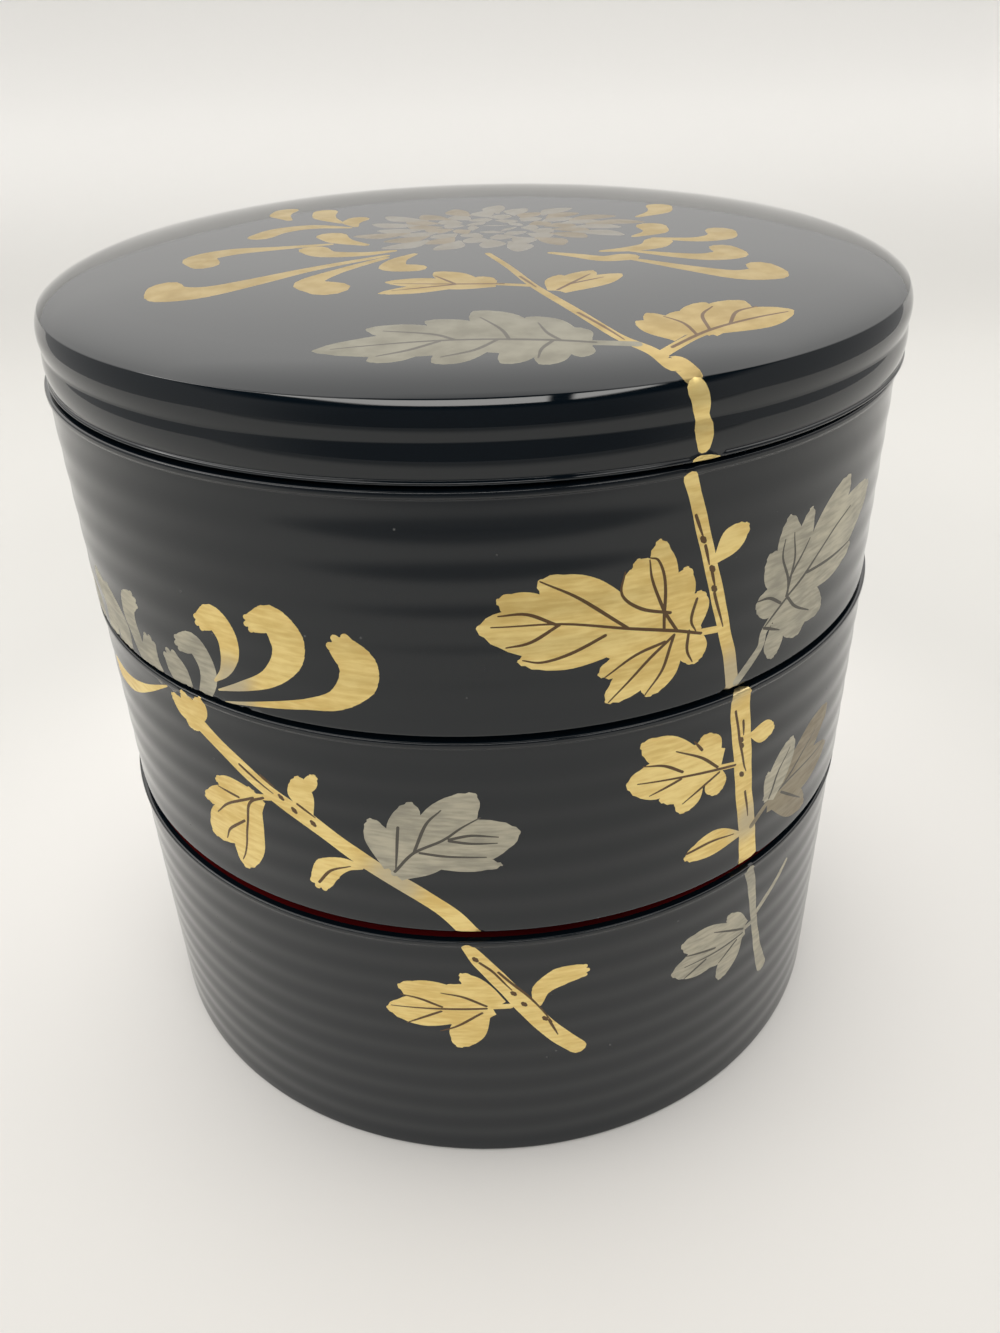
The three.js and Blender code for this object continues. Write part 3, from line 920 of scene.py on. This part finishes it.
def lid_painting(place, side):
    """The flower on the dome, its stem that runs down over the side, and its leaves."""
    art = Painting(place, LID_FRAY, bristles=())
    for index in range(INNER_PETALS):
        angle = index * GOLDEN_TURN
        reach = FLOWER_CORE + FLOWER_REACH * (index / INNER_PETALS) ** FLOWER_SPREAD
        across, along = FLOWER_STRETCH * reach * np.sin(angle), reach * np.cos(angle)
        root = (FLOWER_X + INNER_PETAL_ROOT * across, FLOWER_Y + INNER_PETAL_ROOT * along)
        tip = (FLOWER_X + across, FLOWER_Y + along)
        paint = "bronze" if index % 2 and abs(across) > DULL_ASIDE else "faded"
        art.lobe(paint, root, tip, INNER_PETAL_WIDTH, INNER_PETAL_BEND)
    for widths, points in (
        ((1, 3.5, 4), ((-34, 14), (-36.5, 20), (-36, 25))),
        ((1, 3.5, 4), ((-24, 9), (-27.5, 15), (-28, 21))),
        ((1, 3, 3.5), ((-21, 5), (-22, 9), (-21, 12))),
        ((1, 3, 4, 4), ((-22, 4), (-29, 6), (-34.5, 3.5), (-37, -1))),
        ((1.2, 3.5, 4.5), ((-18, -11.5), (-22.5, -7.5), (-24.5, -3))),
        ((1, 2.2, 4, 5, 4), (
            (-24, -10), (-33, -11.6), (-40, -12.4), (-44.6, -15.4), (-43, -20.4),
        )),
        ((1, 2.4, 3.6, 4.2), ((-13, -17), (-18, -18.6), (-24, -17.6), (-26.4, -13.8))),
        ((1, 2, 3.4, 4.6, 5.6, 4.6), (
            (-14, -20.4), (-25, -27.6), (-33, -33.4), (-40, -36.6), (-45.6, -35.4), (-47.2, -31.8),
        )),
        ((1, 2, 3.8, 5.4), ((-14, -22), (-21, -30), (-24.6, -36), (-21.4, -39.6))),
        ((1, 2.4, 4, 3.6), ((-9.6, -20), (-12, -24), (-12.4, -28.6), (-9.4, -29.6))),
        ((1, 3.5, 4.2), ((30, 6), (34.5, 11), (35.4, 16.6))),
        ((1, 3.5, 4.5), ((27, -11.3), (31, -7.6), (31, -3))),
        ((1, 2.6, 4, 4.4), ((30, -13.2), (36.7, -14.6), (41.4, -12), (42.2, -7.6))),
        ((1, 2.6, 3.6, 4), ((20.4, -22), (25, -21), (29, -18.6), (30.4, -15.4))),
        ((1, 2.4, 3.6, 4.6, 4), (
            (25, -22.2), (31.3, -25.6), (36.4, -26.8), (40.4, -24.6), (40, -21),
        )),
        ((1, 2.4, 3.6), ((12.2, -22.2), (16, -24.6), (20, -27.2), (23.6, -26.4))),
        ((1, 2.4, 3.8, 5, 4.4), (
            (24, -27.6), (32, -33.6), (38.8, -36.8), (44, -35), (43.8, -32),
        )),
    ):
        art.petal("gold", [width * OUTER_PETAL for width in widths], *points)
    stem = [place(point) for point in ((2.2, -21.3), (5, -30.4), (8.4, -42.6), (12.8, -52.6), (17.8, -61.6),
                                       (22, -65.4), (24, -67.6))]
    edge = [side(point) for point in ((26.8, 149.9), (27.8, 148.8))]
    art.shapes.append(("gold", ribbon(stem + edge, (1, 1.1, 1.3, 1.5, 1.6, 1.9, 2.3, 3, 3))))
    for widths, points in (
        ((2.9, 2.9, 2.8, 2.2), ((28.1, 147.3), (28.5, 146.3), (28.8, 144.9), (29.1, 143.4))),
        ((2.2, 3.1, 3, 2.4), ((29.2, 143.4), (29.4, 142.2), (29.6, 140.8), (29.7, 139.6))),
        ((0.4, 1, 0.8, 0.3), ((28.2, 137.7), (29.4, 137.8), (31, 137.7), (32.2, 137.6))),
    ):
        art.shapes.append(("side_gold", ribbon([side(point) for point in points], widths)))
    art.leaf("gold", ((8, -42.2), (2, -40.6)), (
        ((-1, -40.4), (-14, -43.5), 4), ((-1, -40), (-13.3, -37.6), 5), ((0, -40), (-6, -32.6), 5),
        ((2, -40.4), (0.4, -36.4), 3.5), ((3, -40.6), (-7, -39.6), 6),
    ), (
        ((4, -40.8), (-4, -40), (-12, -38.6)), ((-3, -40), (-6, -35)), ((-3, -40.4), (-12, -42.4)),
    ))
    art.leaf("gold", None, (
        ((11.3, -45), (12.6, -36.7), 4), ((11.3, -45), (17.6, -34.5), 5), ((11.6, -45), (21.7, -36.7), 5),
    ), (
        ((11.6, -44.6), (15, -39.5), (17, -36.5)), ((13.4, -41.8), (18.8, -38.4)),
    ))
    art.leaf("gold", ((23.4, -65.8), (25.7, -63.5), (27.8, -61.4), (30, -59.5)), (
        ((26.2, -61.8), (21, -57.2), 4), ((26.6, -61.2), (22.8, -54.4), 4.5),
        ((27.6, -60.6), (27.4, -53.4), 5.5), ((28.6, -60.2), (31.6, -49.8), 6),
        ((29.6, -59.4), (37.4, -48.4), 7), ((29.6, -58.9), (44, -50.2), 6),
    ), (
        ((24.8, -64.2), (30.6, -59), (37, -54.6), (43, -51)), ((28.6, -60.6), (27.4, -57.4), (25, -55.4)),
        ((30.6, -58.8), (30.4, -54.5), (32.4, -51.2)), ((33.8, -56.6), (35.5, -52.6), (38.8, -50.2)),
    ), 1.5)
    art.leaf("silver", ((20.4, -63.9), (13.6, -63.8)), (
        ((10, -63), (-21.5, -62.8), 7), ((13.4, -63.4), (12.6, -59.4), 4), ((12.4, -63.2), (6.5, -55.8), 6),
        ((7, -62.6), (-0.5, -53), 7), ((-1, -62.4), (-14.8, -57.6), 5.5), ((13, -63.9), (12.8, -67.4), 3.8),
        ((11.4, -63.6), (7.4, -69), 4.5), ((8, -63.2), (2.6, -68.7), 4.5), ((2, -63), (-6, -68), 5),
        ((-5, -62.8), (-14.2, -66.6), 4.5), ((14.6, -63.7), (-6, -62), 7.4), ((4, -62.8), (-7, -56), 5.5),
    ), (
        ((15, -63.7), (8, -63), (-4, -62.4), (-19, -62.8)), ((10.6, -63.2), (9, -61), (8, -57.8)),
        ((4, -62.8), (3, -59.6), (0.4, -55.4)), ((-3, -62.4), (-6, -60.4), (-12.4, -58.6)),
        ((9.6, -63.2), (8, -65.4), (7.4, -67.6)), ((2.4, -62.8), (-0.6, -65.4), (-4.8, -66.8)),
        ((-5, -62.6), (-9, -64.6), (-13, -65.6)),
    ), 1.3)
    art.veins("gold", ((6.6, -37), (8.6, -43)), ((13.6, -54.4), (18.8, -62.8)))
    return art


# The pieces

tops = {}
for node, pitch, below, seam, black_rim, paint in (
    ("bottom_tier", BOTTOM_RIB_PITCH, None, 0.0, BOTTOM_BLACK_RIM, bottom_painting),
    ("middle_tier", UPPER_RIB_PITCH, "bottom_tier", MIDDLE_SEAM, MIDDLE_BLACK_RIM, middle_painting),
    ("top_tier", UPPER_RIB_PITCH, "middle_tier", TOP_SEAM, TOP_BLACK_RIM, top_painting),
):
    low, high, radius, offset = node_sizes(node)
    base = tops[below] + seam if below else low
    tops[node] = high
    profile = tier_profile(low, high, radius, pitch, base, black_rim)
    build(node + "_turned", node, profile, paint(profile.on_wall), False, tier_finishes, offset)

low, high, radius, offset = node_sizes("lid")
profile = lid_profile(low, high, radius, tops["top_tier"] + LID_SEAM)
painting = lid_painting(profile.on_dome, profile.on_side)
build("lid_turned", "lid", profile, painting, True, lid_finishes, offset)

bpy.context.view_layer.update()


# The table and the wall behind it, in one pale sweep, with painted shade on the tabletop and painted light on
# the wall

def sweep():
    """A table that runs up into a wall behind the box."""
    rows = [(TABLE_FRONT, 0.0), (TABLE_BACK, 0.0)]
    for angle in np.linspace(0, np.pi / 2, 17)[1:]:
        rows.append((TABLE_BACK + SWEEP_ROUND * np.sin(angle), SWEEP_ROUND * (1 - np.cos(angle))))
    rows.append((rows[-1][0], WALL_TOP))
    points = [(side * TABLE_HALF, y, z) for y, z in rows for side in (-1, 1)]
    faces = [(2 * i, 2 * i + 1, 2 * i + 3, 2 * i + 2) for i in range(len(rows) - 1)]
    mesh = bpy.data.meshes.new("table")
    mesh.from_pydata(points, [], faces)
    mesh.shade_smooth()
    finish = Finish("pale_table")
    where = finish.place()
    apart = finish.node("ShaderNodeVectorMath", {"operation": "LENGTH"}, {0: where}, "Value")
    # Painted shade: the tabletop darkens away from the box and towards the front.
    tabletop = finish.mix(finish.ramp(apart, *TABLE_SHADE_FALLOFF), NEAR_TABLE, SHADED_FAR_TABLE)
    tabletop = finish.mix(finish.ramp(finish.part(where, "Y"), *TABLE_FRONT_SHADE), tabletop, SHADED_FRONT_TABLE)
    # Painted light: the upright wall is paler than the tabletop.
    upright = finish.ramp(finish.part(where, "Z"), *WALL_STARTS)
    finish.drives("Base Color", finish.mix(upright, tabletop, LIT_WALL))
    finish.constants(Roughness=TABLE_ROUGH)
    mesh.materials.append(finish.material)
    table = bpy.data.objects.new("table", mesh)
    bpy.context.collection.objects.link(table)


# The room

def room():
    """The room as the lacquer mirrors it: a sky behind, a ceiling, a window in front, and a dimmer rest."""
    world = bpy.data.worlds.new("room")
    bpy.context.scene.world = world
    world.use_nodes = True
    nodes = Nodes(world.node_tree)
    background = nodes.tree.nodes["Background"]
    direction = nodes.node("ShaderNodeTexCoord", output="Generated")
    x, y, z = (nodes.part(direction, axis) for axis in "XYZ")
    sky = nodes.ramp(y + z * SKY_LEAN, *SKY_EDGE) * (z * z * SKY_RISE + SKY_LIGHT).smaller(SKY_MOST)
    sky = sky * nodes.ramp(y, *SKY_FRONT) * nodes.ramp(z, *SKY_FOOT)
    over_camera = nodes.ramp(abs(x), *CAMERA_SHADE_ASIDE) * nodes.ramp(y, *CAMERA_SHADE_BEHIND)
    ceiling = nodes.ramp(z, *CEILING_EDGE) * (1.0 - over_camera) * CEILING_LIGHT
    panes = nodes.ramp(abs(x - WINDOW_BAR), *WINDOW_BAR_HALF)
    panes = panes * nodes.ramp(x, *WINDOW_LEFT) * nodes.ramp(x, *WINDOW_RIGHT)
    window = nodes.ramp(z, *WINDOW_FOOT) * nodes.ramp(z, *WINDOW_HEAD) * nodes.ramp(y, *WINDOW_DEPTH)
    window = window * panes * WINDOW_LIGHT
    low = nodes.ramp(z, *LOW_EDGE) * (nodes.ramp(y, *LOW_AHEAD) * LOW_ASIDE + LOW_FRONT)
    light = ceiling.larger(window).larger(sky).larger(low)
    tint = nodes.mix(light.smaller(1.0), DARK_ROOM, WARM_WHITE)
    nodes.tree.links.new(tint.output, background.inputs["Color"])
    nodes.tree.links.new(light.larger(1.0).output, background.inputs["Strength"])


# The camera

def camera():
    """The photograph's camera."""
    data = bpy.data.cameras.new("photo_camera")
    data.sensor_fit = "VERTICAL"
    data.sensor_height = SENSOR_MM
    data.lens = LENS_PIXELS / PHOTO_HEIGHT * SENSOR_MM
    tilt, turn, roll = CAMERA_TILT, CAMERA_TURN, CAMERA_ROLL
    forward = Vector((np.sin(turn) * np.cos(tilt), np.cos(turn) * np.cos(tilt), -np.sin(tilt)))
    level = forward.cross(Vector((0, 0, 1))).normalized()
    upright = level.cross(forward)
    right = level * np.cos(roll) + upright * np.sin(roll)
    up = upright * np.cos(roll) - level * np.sin(roll)
    rows = [[right[i], up[i], -forward[i]] for i in range(3)]
    made = bpy.data.objects.new("photo_camera", data)
    made.matrix_world = Matrix.Translation(CAMERA_PLACE) @ Matrix(rows).to_4x4()
    bpy.context.collection.objects.link(made)
    bpy.context.scene.camera = made


bpy.context.scene.view_settings.view_transform = "Standard"
sweep()
room()
camera()
